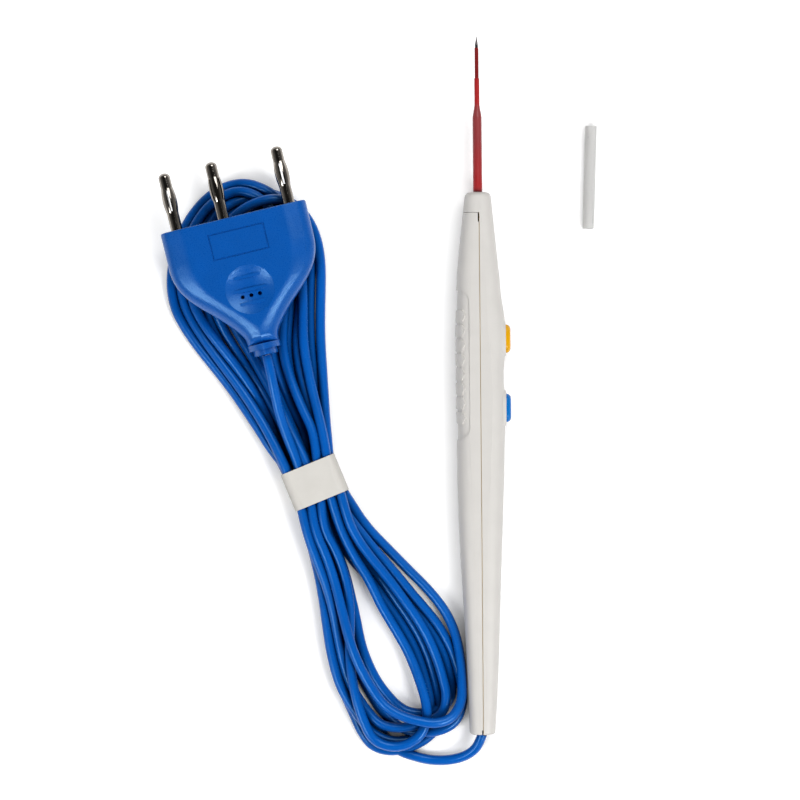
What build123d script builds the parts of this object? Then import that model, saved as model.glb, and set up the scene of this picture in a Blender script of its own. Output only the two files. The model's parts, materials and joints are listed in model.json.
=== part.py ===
from build123d import *

import math
import os

# An electrosurgical pencil lying on its side: a two-part handle with a cut and a coag button, a
# needle electrode in its socket, the needle's guard tube, a cord wound into a banded hank, and a
# three-pin plug resting on the hank. Sizes in millimetres. The origin is on the surface below the
# handle's axis. +Y points to the needle, +X to the buttons and +Z up.

# Handle
handle_length = 180.0
handle_width = 16.0
handle_thickness = 12.4
nose_y = 69.0
side_swell = 0.1
wall = 1.3
lip_wall = 0.6
lip_clearance = 0.1
lip_height = 0.8
seam_x = 0.25
seam_gap = 0.14
seam_notch = 0.35
seam_notch_lengths = (3.0, 1.6)
collar_length = 6.8
collar_backing = 1.7
tail_wall = 2.6
nose_rounding = 1.8
tail_rounding = 0.9

# Cross-sections of the handle: place as a share of its length, then the grip side, the button
# side and the thickness as shares of the half width, the half width and the half thickness.
handle_section_shares = [
    (0.0, 0.537, 0.525, 0.667),
    (0.038, 0.625, 0.6, 0.73),
    (0.125, 0.837, 0.794, 0.841),
    (0.206, 0.95, 0.937, 0.937),
    (0.289, 0.981, 0.994, 1.0),
    (0.461, 0.956, 1.012, 1.0),
    (0.592, 0.919, 0.937, 0.976),
    (0.753, 0.75, 0.794, 0.857),
    (0.95, 0.556, 0.606, 0.698),
    (1.0, 0.525, 0.537, 0.667),
]
corner_share = 0.84

# The saddle that swells the button side towards the two buttons: its button side at even steps along
# the handle, in the same shares. Its other faces stay just inside the handle.
saddle_start_share = 0.11
saddle_step_share = 0.03
saddle_root_share = 0.5
saddle_button_shares = [
    0.7, 0.8, 0.89, 0.956, 1.062, 1.097, 1.085, 1.022, 1.008,
    1.07, 1.075, 1.05, 1.026, 1.012, 0.997, 0.955, 0.91,
]
saddle_inset = 0.2

# Grip pads, pressed into the lower housing's side
grip_top_y = 36.6
grip_bottom_y = -13.3
grip_edge_x = -3.3
grip_corner = 4.2
grip_depth = 0.4
pad_count = 8
pad_first_y = 27.8
pad_pitch = 4.8
pad_height = 4.0
pad_point_x = -5.5
pad_point_length = 1.6
pad_lean_share = 1.0

# Buttons and the raised bosses around them
button_places = {"cut": 20.3, "coag": -2.7}
button_length = 9.5
button_width = 5.4
button_rise = 1.65
button_crown = 1.5
button_clearance = 0.15
button_travel = 0.5
flange_lip = 0.6
flange_thickness = 0.8
flange_clearance = 0.3
flange_gap = 0.05
deck = 2.1
boss_rise = 0.8
boss_margin = 1.0
boss_length_spread = 1.2
boss_width_spread = 0.5
boss_depth = 1.2
plunger_diameter = 2.0

# Switch board, its snap domes and the posts that place it
board_level = 2.9
board_thickness = 1.0
board_width = 7.0
board_front_y = 31.0
board_back_y = -16.0
dome_diameter = 5.0
dome_rest = 0.1
dome_thickness = 0.12
dome_gap = 0.05
post_diameter = 1.4
post_clearance = 0.1
post_rise = 0.3
post_inset = 3.0
board_hold_gap = 0.05

# Ribs inside the housing
rib_thickness = 1.2
rib_root = 0.3
board_rib_middle_y = 6.0
rib_notch_width = 2.8
rib_notch_floor = -3.2
socket_rib_places = (58.0, 52.5)

# Needle electrode and its socket
needle_reach = 52.3
shank_diameter = 2.38
shank_depth = 20.1
shank_rise = 23.0
shank_shoulder = 2.0
needle_diameter = 1.05
needle_cone = 3.3
bare_tip = 4.25
insulation_diameter = 1.35
insulation_length = 10.15
sleeve_diameter = 3.04
sleeve_thin_diameter = 1.7
sleeve_thin_length = 8.9
sleeve_taper = 4.0
hex_width = 4.2
hex_length = 4.8
hex_clearance = 0.1
socket_diameter = 3.6
socket_clearance = 0.03
socket_end_gap = 0.4
socket_end = 1.5
socket_seat_gap = 0.05
finger_slot = 0.5
finger_length = 6.0
contact_width = 2.5
contact_thickness = 0.5
contact_root = 2.5
contact_lap = 4.0

# Cord, its stretch inside the tail, its anchor and the wires that leave it
cord_diameter = 3.3
cord_clearance = 0.1
plug_cord_run = 5.2
jacket_length = 27.0
anchor_diameter = 4.9
anchor_length = 7.0
anchor_end = 2.5
wire_diameter = 1.0
wire_spread = 0.95
wire_bend = 8.0

# Needle guard tube, taken off and lying beside the handle
guard_length = 34.2
guard_diameter = 3.8
guard_bore = 2.4
guard_x = 37.5
guard_y = 74.0
guard_turn = -2.06

# Hank of cord and the paper band around it
bundle_width_share = 5.5
bundle_x = -55.05
bundle_y = -26.9
bundle_turn = 22.0
bundle_straight = 17.0
lobe_height = 7.6
hank_length = 192.3
band_width = 13.0
band_thickness = 0.4
band_gap = 0.1
band_corner = 2.5

# The hank's outline either side of the band, and the space inside its lower loops, as shares of
# the hank's length from the middle of the band.
upper_lobe_shares = [
    (-0.084, 0.067),
    (-0.111, 0.108),
    (-0.139, 0.15),
    (-0.173, 0.2),
    (-0.22, 0.267),
    (-0.249, 0.332),
    (-0.247, 0.4),
    (-0.224, 0.448),
    (-0.179, 0.505),
    (-0.118, 0.525),
    (-0.054, 0.508),
    (-0.004, 0.459),
    (0.018, 0.385),
    (0.019, 0.29),
    (0.016, 0.194),
    (0.02, 0.13),
]
lower_lobe_shares = [
    (-0.021, -0.1),
    (-0.006, -0.161),
    (0.018, -0.237),
    (0.032, -0.34),
    (0.068, -0.412),
    (0.121, -0.472),
    (0.167, -0.469),
    (0.213, -0.452),
    (0.247, -0.41),
    (0.256, -0.345),
    (0.251, -0.276),
    (0.232, -0.215),
    (0.181, -0.154),
    (0.112, -0.084),
]
loop_space_shares = [
    (0.063, -0.187),
    (0.086, -0.174),
    (0.12, -0.223),
    (0.154, -0.283),
    (0.186, -0.379),
    (0.176, -0.4),
    (0.135, -0.37),
    (0.102, -0.326),
    (0.076, -0.274),
]

# Plug, with its pins towards its own +Y
plug_x = -81.0
plug_y = 61.0
plug_turn = 13.1
plug_width = 49.0
plug_thickness = 10.5
plug_body_length = 42.8
plug_neck_width = 10.4
plug_straight = 12.0
plug_front_edge = 0.5
plug_edge = 3.0
plug_seat_gap = 0.3
relief_ring_diameter = 11.0
relief_end_diameter = 8.1
relief_ring_length = 1.9
panel_length = 19.0
panel_width = 8.8
panel_y = -8.5
panel_line = 0.5
panel_depth = 0.3
dish_diameter = 16.2
dish_depth = 0.7
dish_y = -24.6
ridge_width = 1.1
ridge_pitch = 4.4
ridge_height = 0.5
ridge_overhang = 2.4
hole_diameter = 1.3
hole_pitch = 2.9
hole_depth = 4.5
hole_y = -26.6
carrier_width = 44.0
carrier_depth = 9.0
carrier_thickness = 6.4

# Half the plug's outline from its straight side to its neck: shares of half its width, and of
# its length behind the pin side.
shoulder_shares = [(0.845, 0.54), (0.497, 0.745), (0.248, 0.914)]

# Pins
pin_places = {"active": -19.05, "cut": -3.175, "coag": 19.05}
pin_turns = {"active": 0.0, "cut": 45.0, "coag": 0.0}
pin_length = 19.5
pin_diameter = 3.9
pin_bulge = 4.75
pin_barrel = 5.2
pin_cage = 8.2
pin_nose = 1.6
pin_bore = 2.5
pin_root = 7.0
pin_slot = 0.6
pin_slot_inset = 0.5

# One overrun for every cut
overrun = 30.0

# Places that follow from the sizes above
tail_y = nose_y - handle_length
axis_z = handle_thickness / 2
half_width = handle_width / 2
half_thickness = handle_thickness / 2 + side_swell
lower_wall = wall + lip_clearance + lip_wall
seam_low = seam_x - seam_gap / 2
seam_high = seam_x + seam_gap / 2
lip_top = seam_high + lip_height
collar_y = nose_y - collar_length
cavity_front_y = collar_y - collar_backing
cavity_back_y = tail_y + tail_wall
boss_top_x = half_width + boss_rise
flange_seat_x = boss_top_x - deck
flange_top_x = flange_seat_x - flange_gap
flange_base_x = flange_top_x - flange_thickness
board_top = board_level + board_thickness
dome_height = button_travel + dome_rest
jacket_end_y = tail_y + jacket_length
socket_mouth_y = nose_y - hex_length - 2 * hex_clearance
socket_base_y = nose_y - shank_depth - socket_end_gap - socket_end
hank_base_z = band_thickness + band_gap
bundle_width = bundle_width_share * cord_diameter
bundle_height = cord_diameter * (1 + math.sqrt(3))
plug_z = lobe_height + plug_seat_gap + plug_thickness / 2
plug_reach = plug_body_length + 2 * relief_ring_length

# The cord's two loose ends, from the tail to the hank and from the plug to the band
cord_in_points = [
    (0.0, tail_y, axis_z),
    (-1.2, -114.6, 5.6),
    (-3.7, -117.4, 4.5),
    (-7.5, -119.3, 3.2),
    (-12.4, -120.2, 2.2),
    (-17.8, -120.0, 1.7),
    (-23.2, -118.6, 1.7),
    (-28.3, -116.7, 1.7),
]
cord_out_points = [
    (-68.2, 5.0, 12.4),
    (-66.5, -3.9, 10.7),
    (-63.7, -12.4, 9.2),
    (-60.7, -20.0, 8.0),
]
run_share = 0.45

plug_place = Pos(plug_x, plug_y, plug_z) * Rot(0, 0, plug_turn)
bundle_place = Pos(bundle_x, bundle_y, hank_base_z) * Rot(0, 0, bundle_turn)
axis_place = Pos(0, 0, axis_z)


# Shared shapes
def block(along_x, along_y, along_z):
    """A block between two values on each axis."""
    spans = [along_x, along_y, along_z]
    middle = [(low + high) / 2 for low, high in spans]
    return Pos(*middle) * Box(*[high - low for low, high in spans])


def rod(diameter, low, high, place=axis_place):
    """A round bar along Y between two values, about the handle's axis unless placed elsewhere."""
    bar = Cylinder(diameter / 2, high - low, align=(Align.CENTER, Align.CENTER, Align.MIN))
    return place * Pos(0, low, 0) * Rot(-90, 0, 0) * bar


def turned(outline, place=axis_place):
    """A turned piece along Y from points of (radius, place along Y)."""
    face = make_face(Polyline(*outline, close=True))
    return place * revolve(face, Axis.Y)


def stadium(length, width, low, high):
    """A round-ended prism along X, its length along Y, about the handle's axis."""
    base = Plane.YZ.offset(low) * Pos(0, axis_z) * SlotOverall(length, width)
    return extrude(base, high - low)


def handle_form(inset, rows=handle_section_shares):
    """The handle's form, or the same form moved inwards, lofted through its sections."""
    sections = []
    for place, grip, button, thick in rows:
        width = (grip + button) * half_width - 2 * inset
        height = 2 * (thick * half_thickness - inset)
        corner = corner_share * thick * half_thickness - inset
        centre = ((button - grip) * half_width / 2, nose_y - place * handle_length, axis_z)
        plane = Plane(centre, x_dir=(1, 0, 0), z_dir=(0, -1, 0))
        sections.append((plane * RectangleRounded(width, height, corner)).face())
    return loft(sections)


def saddle():
    """The swelling of the handle's button side, as a solid inside the handle elsewhere."""
    rows = []
    for index, button in enumerate(saddle_button_shares):
        place = saddle_start_share + index * saddle_step_share
        pairs = zip(handle_section_shares, handle_section_shares[1:])
        before, after = [pair for pair in pairs if pair[0][0] <= place < pair[1][0]][0]
        weight = (place - before[0]) / (after[0] - before[0])
        thick = before[3] + weight * (after[3] - before[3]) - saddle_inset / half_thickness
        rows.append((place, saddle_root_share, button, thick))
    return handle_form(0, rows)


def cavity_form(inset):
    """The part of an inner form between the collar and the tail's end wall."""
    span = (cavity_back_y, cavity_front_y)
    return handle_form(inset) & block((-overrun, overrun), span, (-overrun, overrun))


# Housing
def handle_shell():
    """The handle's solid outer form, flat on both sides and rounded at nose and tail."""
    along = (tail_y - overrun, nose_y + overrun)
    shell = handle_form(0) & block((-overrun, overrun), along, (0, handle_thickness))
    nose = shell.faces().sort_by(Axis.Y)[-1]
    shell = fillet(nose.edges(), nose_rounding)
    tail = shell.faces().sort_by(Axis.Y)[0]
    return fillet(tail.edges(), tail_rounding) + saddle()


def button_boss(y):
    """The sloped boss that carries a button's opening."""
    length = button_length + 2 * boss_margin
    width = button_width + 2 * boss_margin
    top = Plane.YZ.offset(boss_top_x) * Pos(y, axis_z) * SlotOverall(length, width)
    low = Plane.YZ.offset(boss_top_x - boss_depth) * Pos(y, axis_z)
    base = low * SlotOverall(length + 2 * boss_length_spread, width + 2 * boss_width_spread)
    return loft([base.face(), top.face()])


def button_opening(y):
    """The opening through the boss, and the pocket inside it for the button's flange."""
    grow = 2 * button_clearance
    hole = stadium(button_length + grow, button_width + grow, board_top, overrun)
    grow = 2 * (flange_lip + flange_clearance)
    pocket = stadium(button_length + grow, button_width + grow, board_top, flange_seat_x)
    return Pos(0, y, 0) * (hole + pocket)


def rib_block(y, low, high):
    """A cross wall at one place along the handle."""
    half = rib_thickness / 2
    return block((low, high), (y - half, y + half), (axis_z - overrun, axis_z + overrun))


def anchor_rib_places():
    """The cross walls at both ends of the cord's anchor."""
    front = jacket_end_y - anchor_end
    reach = rib_thickness / 2 + lip_clearance
    return [front + reach, front - anchor_length - reach]


def board_rib_places():
    """The cross walls under the switch board."""
    return [board_front_y - 2 * post_inset, board_rib_middle_y, board_back_y + post_inset]


def post_places():
    """The walls at the board's two ends, where posts go through it."""
    places = board_rib_places()
    return [(places[0], board_width / 3), (places[-1], -board_width / 3)]


def axis_bores():
    """The openings on the handle's axis: hex recess, socket seat and cord passage."""
    hexagon = RegularPolygon(hex_width / 2 + hex_clearance, 6, major_radius=False)
    recess = extrude(Plane((0, socket_mouth_y, axis_z), z_dir=(0, 1, 0)) * hexagon, overrun)
    seat = rod(socket_diameter + 2 * socket_seat_gap, socket_base_y, socket_mouth_y)
    passage = rod(cord_diameter + 2 * cord_clearance, tail_y - overrun, jacket_end_y)
    return recess + seat + passage


def upper_housing(shell, bores):
    """The button side: bosses, openings, the nose collar and the walls that hold the board."""
    low, high = -overrun, overrun
    everything = (tail_y - overrun, nose_y + overrun)
    region = block((seam_high, high), everything, (low, high))
    region += block((low, high), (collar_y, nose_y + overrun), (low, high))
    housing = shell
    for y in button_places.values():
        housing += button_boss(y)
    housing = (housing & region) - cavity_form(wall)
    places = board_rib_places()
    walls = [rib_block(y, board_top + board_hold_gap, high) for y in (places[0], places[-1])]
    walls += [rib_block(y, lip_top + lip_clearance, high) for y in socket_rib_places]
    walls += [rib_block(y, lip_top + lip_clearance, high) for y in anchor_rib_places()]
    housing += Compound(walls) & cavity_form(wall - rib_root)
    housing -= bores
    for y, z in post_places():
        place = Pos(0, y, axis_z + z)
        reach = board_top + post_rise + post_clearance
        hole = Cylinder(post_diameter / 2 + post_clearance, 2 * reach)
        housing -= place * Rot(0, 90, 0) * hole
    for y in button_places.values():
        housing -= button_opening(y)
    return housing


def grip_pad():
    """A pointed pad whose end faces lean inwards towards the handle's two flat sides."""
    half = pad_height / 2
    outlines = []
    for z in (0, axis_z, handle_thickness):
        point = pad_point_x + pad_lean_share * (axis_z - abs(z - axis_z))
        shoulder = point - pad_point_length
        outline = [(-overrun, -half), (shoulder, -half), (point, 0), (shoulder, half), (-overrun, half)]
        outlines.append(Pos(0, 0, z) * make_face(Polyline(*outline, close=True)))
    low, middle, high = outlines
    return loft([low, middle], ruled=True) + loft([middle, high], ruled=True)


def grip_recess():
    """The shallow field on the grip side, less the pointed pads that stand in it."""
    length = grip_top_y - grip_bottom_y
    width = grip_edge_x + overrun
    place = Pos(grip_edge_x - width / 2, (grip_top_y + grip_bottom_y) / 2, 0)
    field = extrude(place * RectangleRounded(width, length, grip_corner), handle_thickness)
    pad = grip_pad()
    for index in range(pad_count):
        field -= Pos(0, pad_first_y - index * pad_pitch, 0) * pad
    return field - handle_form(grip_depth)


def seam_notches():
    """The wider stretches at both ends of the seam."""
    front, back = seam_notch_lengths
    top = collar_y - seam_gap
    across = (seam_low - seam_notch, seam_low)
    up = (-overrun, overrun)
    return block(across, (top - front, top), up) + block(across, (tail_y, tail_y + back), up)


def lower_housing(shell, bores):
    """The grip side: pads, the lip inside the seam, and the walls that carry what is inside."""
    low, high = -overrun, overrun
    region = block((low, seam_low), (tail_y - overrun, collar_y - seam_gap), (low, high))
    inside = cavity_form(lower_wall)
    housing = (shell & region) - inside
    lip_ends = (cavity_back_y + lip_clearance, cavity_front_y - lip_clearance)
    lip = cavity_form(wall + lip_clearance) - inside
    lip &= block((seam_low - lip_height, lip_top), lip_ends, (low, high))
    walls = [rib_block(y, low, board_level) for y in board_rib_places()]
    walls += [rib_block(y, low, 0) for y in socket_rib_places]
    walls += [rib_block(y, low, 0) for y in anchor_rib_places()]
    half = rib_notch_width / 2
    along = (board_back_y, board_front_y)
    notch = block((rib_notch_floor, high), along, (axis_z - half, axis_z + half))
    ribs = (Compound(walls) & cavity_form(lower_wall - rib_root)) - notch
    housing = (housing + lip + ribs) - bores
    for y, z in post_places():
        post = Cylinder(post_diameter / 2, board_thickness + post_rise + post_rise)
        middle = board_level + (board_thickness + post_rise - post_rise) / 2
        housing += Pos(middle, y, axis_z + z) * Rot(0, 90, 0) * post
    return housing - grip_recess() - seam_notches()


# Buttons and switch
def button(y):
    """A domed button with its flange under the deck and its plunger over the snap dome."""
    crown = boss_top_x + button_rise
    cap = stadium(button_length, button_width, flange_base_x, crown)
    cap = fillet(cap.faces().sort_by(Axis.X)[-1].edges(), button_crown)
    grow = 2 * flange_lip
    flange = stadium(button_length + grow, button_width + grow, flange_base_x, flange_top_x)
    low = board_top + dome_height + dome_gap
    stem = extrude(Plane.YZ.offset(low) * Pos(0, axis_z) * Circle(plunger_diameter / 2), flange_top_x - low)
    return Pos(0, y, 0) * (cap + flange + stem)


def snap_dome(y):
    """A thin domed spring disc resting on the board by its rim."""
    half = dome_diameter / 2
    radius = (half**2 + dome_height**2) / (2 * dome_height)
    depth = radius - dome_height
    arcs, rims, tops = [], [], []
    for bend in (radius, radius - dome_thickness):
        rim = (0, math.sqrt(bend**2 - depth**2))
        middle = math.acos(depth / bend) / 2
        top = (bend - depth, 0)
        between = (bend * math.cos(middle) - depth, bend * math.sin(middle))
        arcs.append(ThreePointArc(rim, between, top))
        rims.append(rim)
        tops.append(top)
    disc = revolve(make_face(arcs + [Line(*rims), Line(*tops)]), Axis.X)
    return Pos(board_top, y, axis_z) * disc


def switch_board():
    """The switch board with the two holes its posts go through."""
    half = board_width / 2
    along = (board_back_y, board_front_y)
    board = block((board_level, board_top), along, (axis_z - half, axis_z + half))
    for y, z in post_places():
        hole = Cylinder(post_diameter / 2 + post_clearance, 2 * overrun)
        board -= Pos(0, y, axis_z + z) * Rot(0, 90, 0) * hole
    return board


# Electrode
def needle_electrode():
    """The steel core: a thick shank, a shoulder and a thin pointed needle."""
    shank, thin = shank_diameter / 2, needle_diameter / 2
    shoulder = nose_y + shank_rise
    tip = nose_y + needle_reach
    outline = [
        (0, nose_y - shank_depth),
        (shank, nose_y - shank_depth),
        (shank, shoulder),
        (thin, shoulder + shank_shoulder),
        (thin, tip - needle_cone),
        (0, tip),
    ]
    return turned(outline)


def needle_insulation():
    """The thin inner coating that shows between the sleeve and the bare tip."""
    top = nose_y + needle_reach - bare_tip
    low = nose_y + shank_rise + shank_shoulder
    return rod(insulation_diameter, low, top) - rod(needle_diameter, low - overrun, top + overrun)


def electrode_sleeve(inner):
    """The shrunk outer sleeve, thick over the shank and thin over the needle."""
    top = nose_y + needle_reach - bare_tip - insulation_length
    thin_low = top - sleeve_thin_length
    thick_high = thin_low - sleeve_taper
    thick, thin = sleeve_diameter / 2, sleeve_thin_diameter / 2
    outline = [(0, nose_y), (thick, nose_y), (thick, thick_high), (thin, thin_low), (thin, top), (0, top)]
    return turned(outline) - inner


def hex_collar():
    """The hexagonal collar on the shank that keys into the nose."""
    hexagon = RegularPolygon(hex_width / 2, 6, major_radius=False)
    low = nose_y - hex_length
    collar = extrude(Plane((0, low, axis_z), z_dir=(0, 1, 0)) * hexagon, hex_length)
    return collar - rod(shank_diameter, low - overrun, nose_y + overrun)


def electrode_socket():
    """The brass socket: a slotted barrel with a contact strip that reaches under the board."""
    bore = rod(shank_diameter + 2 * socket_clearance, socket_base_y + socket_end, nose_y)
    socket = rod(socket_diameter, socket_base_y, socket_mouth_y) - bore
    slots = (socket_mouth_y - finger_length, socket_mouth_y + overrun)
    half = finger_slot / 2
    socket -= block((-overrun, overrun), slots, (axis_z - half, axis_z + half))
    socket -= block((-half, half), slots, (axis_z - overrun, axis_z + overrun))
    half = contact_width / 2
    root = (socket_base_y, socket_base_y + contact_root)
    strip_ends = (board_front_y - contact_lap, socket_base_y + contact_root)
    across = (axis_z - half, axis_z + half)
    socket += block((0, board_level), root, across) - bore
    return socket + block((board_level - contact_thickness, board_level), strip_ends, across)


# Cord inside the handle
def bent_rod(diameter, points, bend):
    """A round wire along straight runs joined by arcs."""
    path = FilletPolyline(*points, radius=bend)
    first = Vector(*points[0])
    plane = Plane(first, z_dir=Vector(*points[1]) - first)
    return sweep(plane * Circle(diameter / 2), path=path)


def wire_starts():
    """Where the three wires leave the cord's jacket, spread evenly around the axis."""
    starts = {}
    for name, turn in (("active", 180.0), ("cut", 60.0), ("coag", -60.0)):
        angle = math.radians(turn)
        starts[name] = (wire_spread * math.cos(angle), axis_z + wire_spread * math.sin(angle))
    return starts


def board_wire(name, side):
    """A wire that rises from the jacket to the back edge of the board."""
    x, z = wire_starts()[name]
    level = board_level + board_thickness / 2
    gap = board_back_y - jacket_end_y
    land = axis_z + side * board_width / 4
    points = [
        (x, jacket_end_y, z),
        (x, jacket_end_y + gap / 4, z),
        (level, board_back_y - gap / 4, land),
        (level, board_back_y, land),
    ]
    return bent_rod(wire_diameter, points, wire_bend)


def socket_wire():
    """The wire that runs under the board to the back of the socket."""
    x, z = wire_starts()["active"]
    gap = socket_base_y - jacket_end_y
    low = rib_notch_floor + wire_diameter
    points = [
        (x, jacket_end_y, z),
        (x, jacket_end_y + gap / 5, z),
        (low, jacket_end_y + 2 * gap / 5, z),
        (low, jacket_end_y + 4 * gap / 5, z),
        (-socket_diameter / 4, socket_base_y - wire_bend, z),
        (-socket_diameter / 4, socket_base_y, z),
    ]
    return bent_rod(wire_diameter, points, wire_bend)


def cord_anchor():
    """The ferrule on the jacket, held between two walls of the housing."""
    front = jacket_end_y - anchor_end
    ferrule = rod(anchor_diameter, front - anchor_length, front)
    return ferrule - rod(cord_diameter, front - anchor_length - overrun, front + overrun)


# Guard tube
def needle_guard():
    """The loose tube that covers the needle, lying on the surface."""
    place = Pos(guard_x, guard_y, guard_diameter / 2) * Rot(0, 0, guard_turn)
    half = guard_length / 2
    tube = rod(guard_diameter, -half, half, place)
    return tube - rod(guard_bore, -half - overrun, half + overrun, place)


# Cord and hank
def corner_radii(points):
    """The largest arcs that the runs beside each corner allow."""
    vectors = [Vector(*point) for point in points]
    radii = []
    for before, corner, after in zip(vectors, vectors[1:], vectors[2:]):
        first, second = corner - before, after - corner
        turn = math.radians(first.get_angle(second))
        radii.append(run_share * min(first.length, second.length) / math.tan(turn / 2))
    return radii


def cord_tube(name, points):
    """A length of cord along straight runs and tangent arcs."""
    radii = corner_radii(points)
    path = FilletPolyline(*points, radius=radii)
    first = Vector(*points[0])
    plane = Plane(first, z_dir=Vector(*points[1]) - first)
    tube = sweep(plane * Circle(cord_diameter / 2), path=path)
    volume = math.pi * cord_diameter**2 / 4 * path.length
    print(name, "radii", [round(radius, 1) for radius in radii])
    print(name, "length", round(path.length, 1), "volume ratio", round(tube.volume / volume, 4))
    return tube


def share_points(shares):
    """Outline points from shares of the hank's length about the middle of the band."""
    return [(bundle_x + u * hank_length, bundle_y + v * hank_length) for u, v in shares]


def bundle_corners(side):
    """The two corners of the straight bundle on one side of the band, left and right."""
    across = bundle_width / 2
    along = side * bundle_straight / 2
    corners = [bundle_place * Pos(x, along, 0) for x in (-across, across)]
    return [(corner.position.X, corner.position.Y) for corner in corners]


def lobe(side, shares):
    """The loops on one side of the band as one flat solid."""
    left, right = bundle_corners(side)
    edge = Spline(left, *share_points(shares), right)
    return extrude(make_face([edge, Line(right, left)]), lobe_height)


def cord_hank():
    """The outer shape of the wound cord: both sets of loops and the straight bundle between."""
    section = Pos(0, 0, bundle_height / 2) * Box(bundle_width, bundle_straight, bundle_height)
    section = fillet(section.edges().filter_by(Axis.Y), band_corner)
    space = extrude(make_face(Spline(*share_points(loop_space_shares), periodic=True)), lobe_height)
    lobes = lobe(1, upper_lobe_shares) + (lobe(-1, lower_lobe_shares) - space)
    return lobes + bundle_place * section


def tie_band():
    """The paper band wrapped once around the bundle."""
    width = bundle_width + 2 * band_gap
    height = bundle_height + 2 * band_gap
    plane = Plane((0, -band_width / 2, bundle_height / 2), x_dir=(1, 0, 0), z_dir=(0, 1, 0))
    corner = band_corner + band_gap
    grow = 2 * band_thickness
    outer = RectangleRounded(width + grow, height + grow, corner + band_thickness)
    ring = plane * (outer - RectangleRounded(width, height, corner))
    return bundle_place * extrude(ring, band_width)


# Plug
def plug_outline():
    """The plug's plan: straight sides, longer than the plug, that draw in to the neck."""
    half = plug_width / 2
    neck = plug_neck_width / 2
    side = [(half, -plug_straight)]
    side += [(half * across, -plug_body_length * along) for across, along in shoulder_shares]
    side += [(neck, -plug_body_length)]
    right = Spline(*side, tangents=[(0, -1), (0, -1)])
    left = mirror(right, Plane.YZ)
    ends = (-plug_straight, 2 * plug_edge)
    front = Polyline((half, ends[0]), (half, ends[1]), (-half, ends[1]), (-half, ends[0]))
    back = Line((-neck, -plug_body_length), (neck, -plug_body_length))
    return make_face([right, left, front, back])


def plug_body(carrier):
    """The moulded grip of the plug, with its panel line, finger dish, ridges and ringed neck."""
    half = plug_thickness / 2
    body = extrude(Pos(0, 0, -half) * plug_outline(), plug_thickness)
    rims = body.faces().filter_by(Axis.Z).edges()
    body = fillet(rims, plug_edge)
    body &= block((-overrun, overrun), (-2 * overrun, 0), (-overrun, overrun))
    body = fillet(body.faces().sort_by(Axis.Y)[-1].edges(), plug_front_edge)
    shrink = 2 * panel_line
    panel = Rectangle(panel_length, panel_width)
    panel -= Rectangle(panel_length - shrink, panel_width - shrink)
    body -= extrude(Pos(0, panel_y, half - panel_depth) * panel, overrun)
    dish_half = dish_diameter / 2
    radius = (dish_half**2 + dish_depth**2) / (2 * dish_depth)
    dish = Pos(0, dish_y, half - dish_depth + radius) * Sphere(radius)
    body -= dish
    for index in (-1, 0, 1):
        length = 2 * math.sqrt(dish_half**2 - (index * ridge_pitch) ** 2) - 2 * ridge_overhang
        ridge = extrude(SlotOverall(length, ridge_width), dish_depth + ridge_height)
        body += Pos(0, dish_y + index * ridge_pitch, half - 2 * dish_depth) * ridge
    for index in (-1, 0, 1):
        place = Pos(index * hole_pitch, hole_y, half - dish_depth - hole_depth)
        body -= place * extrude(Circle(hole_diameter / 2), overrun)
    ring = -plug_body_length - relief_ring_length
    body += rod(relief_ring_diameter, ring, -plug_body_length, Pos(0, 0, 0))
    body += rod(relief_end_diameter, -plug_reach, ring, Pos(0, 0, 0))
    return body - carrier


def pin_carrier(pins):
    """The block inside the plug that holds the pins' roots."""
    half_across, half_up = carrier_width / 2, carrier_thickness / 2
    carrier = block((-half_across, half_across), (-carrier_depth, 0), (-half_up, half_up))
    for pin in pins:
        carrier -= pin
    return carrier


def pin_outline():
    """Half a pin's profile from its root to its rounded tip, as (radius, place along the pin)."""
    radius = pin_diameter / 2
    bulge = pin_bulge / 2
    cage_top = pin_length - pin_barrel
    cage_low = cage_top - pin_cage
    start = Line((0, -pin_root), (radius, -pin_root))
    root = Line((radius, -pin_root), (radius, cage_low))
    cage = ThreePointArc((radius, cage_low), (bulge, cage_low + pin_cage / 2), (radius, cage_top))
    barrel = Line((radius, cage_top), (radius, pin_length - pin_nose))
    nose = Spline(
        (radius, pin_length - pin_nose),
        (radius * math.sqrt(0.5), pin_length - pin_nose * (1 - math.sqrt(0.5))),
        (0, pin_length),
        tangents=[(0, 1), (-1, 0)],
    )
    close = Line((0, pin_length), (0, -pin_root))
    return make_face([start, root, cage, barrel, nose, close])


def plug_pin(x, turn):
    """A rolled hollow pin with four spring leaves that bulge in its middle."""
    pin = revolve(pin_outline(), Axis.Y)
    pin -= rod(pin_bore, -overrun, pin_length - pin_nose, Pos(0, 0, 0))
    cage_top = pin_length - pin_barrel - pin_slot_inset
    cage_low = pin_length - pin_barrel - pin_cage + pin_slot_inset
    half = pin_slot / 2
    slots = block((-overrun, overrun), (cage_low, cage_top), (-half, half))
    slots += block((-half, half), (cage_low, cage_top), (-overrun, overrun))
    return Pos(x, 0, 0) * Rot(0, turn, 0) * (pin - slots)


# Everything, one file for each piece
shell = handle_shell()
bores = axis_bores()
needle = needle_electrode()
insulation = needle_insulation()
pins = {name: plug_pin(x, pin_turns[name]) for name, x in pin_places.items()}
pin_roots = [rod(pin_diameter, -pin_root, overrun, Pos(x, 0, 0)) for x in pin_places.values()]
carrier_room = pin_carrier([])

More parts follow.
